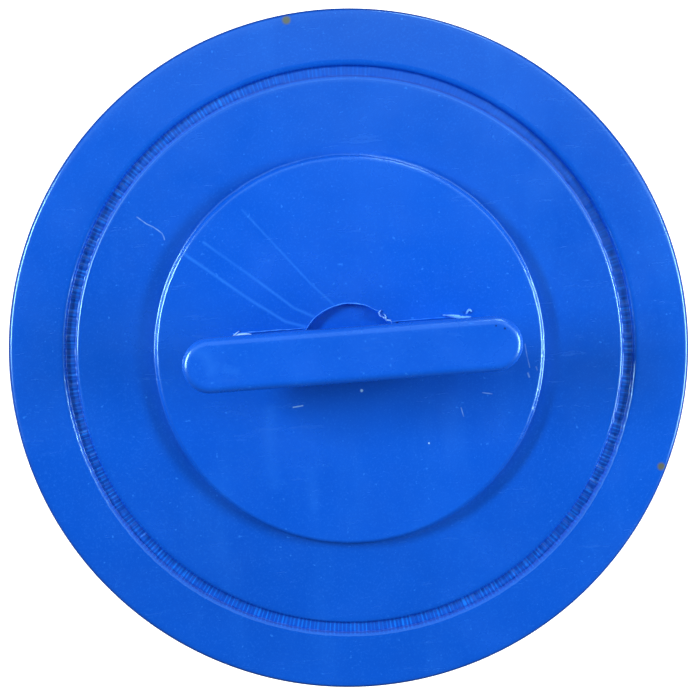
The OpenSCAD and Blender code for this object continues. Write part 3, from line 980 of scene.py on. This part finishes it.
def make_adapter():
    """Outlet nipple: a right-hand thread cut to its run-out, shank, potted flange and spigot."""
    thread_top = SEAT_Z - SHANK_L
    top = ADAPTER_HIGH.z
    root_r = NIPPLE_R - THREAD_DEPTH
    spigot_r = CORE_R - 3.1 * MM
    edge = SPIGOT_EDGE
    profile = [(BORE_R + CHAMFER, 0)]
    profile += line((BORE_R + 2 * MM, 0), (NIPPLE_R - 2.2 * MM, 0), 3)
    profile += line((NIPPLE_R - 2.0 * MM, 0), (root_r, 0.8 * MM), 3)
    profile += line((root_r, 0.8 * MM), (root_r, thread_top), 150)
    profile += line((NIPPLE_R - 0.4 * MM, thread_top + 0.05 * MM), (NIPPLE_R, thread_top + 0.45 * MM), 2)
    profile += line((NIPPLE_R, thread_top + 0.45 * MM), (NIPPLE_R, SEAT_Z + 0.5 * MM), 6)
    profile += [(NECK_R, SEAT_Z + 0.6 * MM), (NECK_R, FLANGE_LOW), (FLANGE_R, FLANGE_LOW)]
    profile += [(FLANGE_R, CORE_LOW.z), (spigot_r, CORE_LOW.z), (spigot_r, top - 1 * MM)]
    profile += arc(spigot_r - edge, top - edge, edge, 0, 90, 5)
    profile += arc(BORE_R + edge, top - edge, edge, 90, 180, 5)
    profile += line((BORE_R, top - 2 * MM), (BORE_R, CHAMFER), 8)
    profile += [(BORE_R, CHAMFER)]

    def thread(r, angle, z):
        turn = (z / THREAD_PITCH - angle / TAU) % 1.0
        crest = smoothstep(0.86, 0.18, np.abs(turn - 0.5) * 2)
        fade = smoothstep(0.6 * MM, 3.2 * MM, z) * smoothstep(thread_top, thread_top - 2.4 * MM, z)
        raised = r + (THREAD_DEPTH - THREAD_PLAY) * crest * fade
        return np.where(np.abs(r - root_r) < 0.01 * MM, raised, r), z

    return turned("outlet_adapter", profile, 256, thread, 50)


# ---- assembly

def place(piece, material, slot_name, *nodes):
    """Gives a piece its material; nodes are the CAD nodes that it stands for, which it hides; slot_name is
    not used.
    """
    piece.data.materials.clear()
    piece.data.materials.append(material)
    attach(piece, "root")
    if nodes:
        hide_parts(*nodes)
    return piece


def mark(width, strength, *points):
    """A line through (x, y) points, all in millimetres, as (path, width, strength)."""
    return [(x * MM, y * MM) for x, y in points], width * MM, strength


def dots(z, *places):
    """Round marks at height z from (x, y, radius) in millimetres, as (centre, radius)."""
    return [((x * MM, y * MM, z), radius * MM) for x, y, radius in places]


def blues(tone):
    """The two blues of a material that is lighter than the caps by the given factor."""
    return [tuple(tone * value for value in colour[:3]) + (1.0,) for colour in (BLUE_DEEP, BLUE)]


def build():
    """Makes every piece, gives it its material and says which CAD nodes it stands for."""
    cap_blue = blue_plastic(
        "cast_blue", 0.225, ribbed=True,
        scratches=[mark(0.27, 0.5, (-63.4, 46.7), (-60.6, 44.3), (-58.6, 43.2), (-57.2, 42.1), (-56.0, 41.0),
                        (-55.5, 39.8), (-55.4, 39.0))],
        spots=dots(TOP_Z, (-12.1, 104.35, 1.7), (96.0, -44.6, 1.6)),
    )
    plate_blue = blue_plastic(
        "plate_blue", 0.225, blues(1.09),
        flows=[
            mark(0.75, 0.46, (-13.6, 8.6), (-19.5, 10.6), (-30.0, 18.2), (-49.1, 33.8)),
            mark(0.70, 0.40, (-10.8, 11.6), (-16.5, 14.6), (-28.0, 24.6), (-43.1, 37.2)),
            mark(0.55, 0.32, (-4.2, 14.9), (-10.5, 21.5), (-30.4, 46.4)),
            mark(3.2, 0.12, (-26.5, -17.0), (-27.8, -30.0), (-27.0, -40.0)),
            mark(2.6, 0.10, (-15.5, -37.0), (-15.0, -48.0)),
        ],
        # Painted shade in the gap along the slot's back edge, on both sides of the pocket.
        gap_shades=[
            mark(0.26, 0.75, (14.2, 7.9), (26.0, 7.75), (36.0, 7.6)),
            mark(0.26, 0.75, (-36.5, 7.6), (-26.0, 7.75), (-14.6, 7.9)),
        ],
        scratches=[
            mark(0.30, 0.8, (-19.2, -16.4), (-16.2, -16.1)),
            mark(0.24, 0.55, (54.9, -2.2), (55.3, -6.0), (55.9, -9.6)),
            mark(0.40, 0.8, (55.2, -11.4), (55.5, -12.6)),
            mark(0.30, 0.6, (57.9, -9.6), (58.2, -10.6)),
            mark(0.24, 0.5, (33.4, -20.6), (34.0, -23.4)),
            mark(0.24, 0.5, (40.5, -16.4), (43.4, -17.0)),
        ],
        crumbs=dots(PLATE_HIGH.z, (2.6, -12.8, 0.60), (22.5, -31.0, 0.35), (60.4, -6.3, 0.75),
                    (58.3, -16.9, 0.65), (56.4, -22.6, 0.80), (60.7, -1.2, 0.50)),
        # A dark dot of painted shade for a small pit by the slot.
        pit_shades=dots(PLATE_HIGH.z, (15.3, 7.6, 0.60)),
    )
    handle_blue = blue_plastic(
        "handle_blue", 0.26, blues(1.14),
        flows=[
            mark(2.6, 0.20, (-47.0, 5.0), (-44.0, 3.5), (-42.5, -1.0)),
            mark(1.8, 0.20, (-38.5, -1.2), (-35.5, -2.2)),
        ],
        # Dark dots of painted shade for two small pits in the grip's top.
        pit_shades=dots(HANDLE_HIGH.z, (43.5, 5.6, 0.35), (46.1, 4.6, 0.42)),
    )
    # fin_blue and bow_blue are paler than the plate: partly the whitened resin of thin flash, partly a
    # painted highlight along the fins' crests.
    fin_blue = blue_plastic("fin_blue", 0.25, (srgb(95, 158, 245), srgb(165, 208, 252)))
    bow_blue = blue_plastic("bow_blue", 0.25, (srgb(24, 104, 226), srgb(70, 146, 244)))
    white_fabric = fabric("spunbond", srgb(240, 241, 240), srgb(226, 229, 231), 1400, 0.85)
    strap_fabric = fabric("strap", srgb(238, 238, 234), srgb(222, 222, 218), 900, 0.75)
    core_white = clouded("core_white", 35, (srgb(214, 216, 216), srgb(232, 232, 228)), (0.38, 0.52),
                         (1200, 0.2, 0.03 * MM), IOR=1.5)
    seam_glue = clouded("seam_glue", 120, (srgb(206, 196, 160), srgb(232, 226, 200)), (0.25, 0.4),
                        (300, 0.4, 0.2 * MM), IOR=1.48, Subsurface_Weight=0.2)

    place(make_top_cap(), cap_blue, "cast_resin", "top_end_cap")
    place(make_meniscus(), cap_blue, "cast_resin")
    place(make_bottom_cap(), cap_blue, "cast_resin", "bottom_end_cap")
    place(make_plate(), plate_blue, "moulded_blue", "centre_plate")
    for fin in make_flash():
        edge = fin.name in ("flash_left", "flash_right", "flash_front", "flash_bow")
        place(fin, bow_blue if edge else fin_blue, "moulded_blue")
    place(make_handle(), handle_blue, "moulded_blue", "handle")
    media = place(make_media(), white_fabric, "filter_fabric", "pleated_media")
    place(make_band("strap_upper", BAND_LOW, BAND_HIGH, 3), strap_fabric, "band_strap", "upper_band")
    place(make_band("strap_lower", LOWER_BAND_LOW, LOWER_BAND_HIGH, 8), strap_fabric,
          "band_strap", "lower_band")
    place(make_lap("strap_upper_lap", BAND_LOW, BAND_HIGH, 250), strap_fabric, "band_strap")
    place(make_lap("strap_lower_lap", LOWER_BAND_LOW, LOWER_BAND_HIGH, 262), strap_fabric, "band_strap")
    place(make_core(), core_white, "core_plastic", "core_tube")
    place(make_adapter(), handle_blue, "moulded_blue", "threaded_adapter")
    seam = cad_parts["media_seam"]
    seam.data.materials.clear()
    seam.data.materials.append(seam_glue)
    return media


def soft_lamp(name, azimuth, elevation, distance, size, power):
    """An area light that faces the cap's face from the given direction, in degrees."""
    data = bpy.data.lights.new(name, "AREA")
    data.shape = "RECTANGLE"
    data.size, data.size_y = size
    data.energy = power
    light = add_object(name, data)
    around, up = radians(azimuth), radians(elevation)
    offset = Vector((cos(around) * cos(up), sin(around) * cos(up), sin(up)))
    light.location = Vector((0, 0, TOP_Z)) + distance * offset
    light.rotation_euler = (-offset).to_track_quat("-Z", "Y").to_euler()


def make_stage():
    """A white floor, a dim bluish surround and soft lamps low at both sides and at the back."""
    world = bpy.data.worlds.new("studio")
    world.use_nodes = True
    background = world.node_tree.nodes["Background"]
    background.inputs["Color"].default_value = SURROUND
    background.inputs["Strength"].default_value = SURROUND_STRENGTH
    bpy.context.scene.world = world
    floor_material, tree, shader, position = new_material(
        "floor", Roughness=0.9, Emission_Color=(1, 1, 1, 1), Emission_Strength=FLOOR_GLOW)
    tone = mapped(tree, noise(tree, position, 3, 2), 0.3, 0.7)
    white = mixed(tree, tone, (0.90, 0.90, 0.90, 1), (0.94, 0.94, 0.94, 1))
    tree.links.new(white, shader.inputs["Base Color"])
    verts = [(x * FLOOR_HALF, y * FLOOR_HALF, 0) for x, y in ((-1, -1), (1, -1), (1, 1), (-1, 1))]
    floor = mesh_object("floor", verts, [(0, 1, 2, 3)])
    floor.data.materials.append(floor_material)
    floor.visible_glossy = False
    soft_lamp("left_core", 164, 30, 1.0, (0.46, 0.13), 12.4)
    soft_lamp("right", 2, 35, 1.0, (0.50, 0.60), 0.4)
    soft_lamp("right_core", -4, 28, 1.0, (0.58, 0.18), 12.0)
    soft_lamp("far_right", 32, 46, 1.0, (0.40, 0.40), 0.6)
    soft_lamp("far", 82, 52, 1.1, (1.50, 1.20), 3.6)
    soft_lamp("far_core", 68, 15, 1.0, (0.34, 0.16), 2.2)


def make_camera():
    data = bpy.data.cameras.new("camera")
    data.sensor_width = SENSOR
    camera = add_object("camera", data)
    place_at = Vector((*CAMERA_OFFSET, TOP_Z + CAMERA_HEIGHT))
    aim = Vector((0, 0, TOP_Z))
    distance = (aim - place_at).length
    data.lens = SENSOR * distance / VIEW_WIDTH
    data.clip_start = 0.05
    data.clip_end = 20
    back = (place_at - aim).normalized()
    up = Vector((-sin(CAMERA_TURN), cos(CAMERA_TURN), 0))
    right = up.cross(back).normalized()
    up = back.cross(right)
    rotation = Matrix((right, up, back)).transposed()
    camera.matrix_world = Matrix.Translation(place_at) @ rotation.to_4x4()
    bpy.context.scene.camera = camera


bpy.context.scene.view_settings.view_transform = "Standard"
make_camera()
media = build()
make_stage()
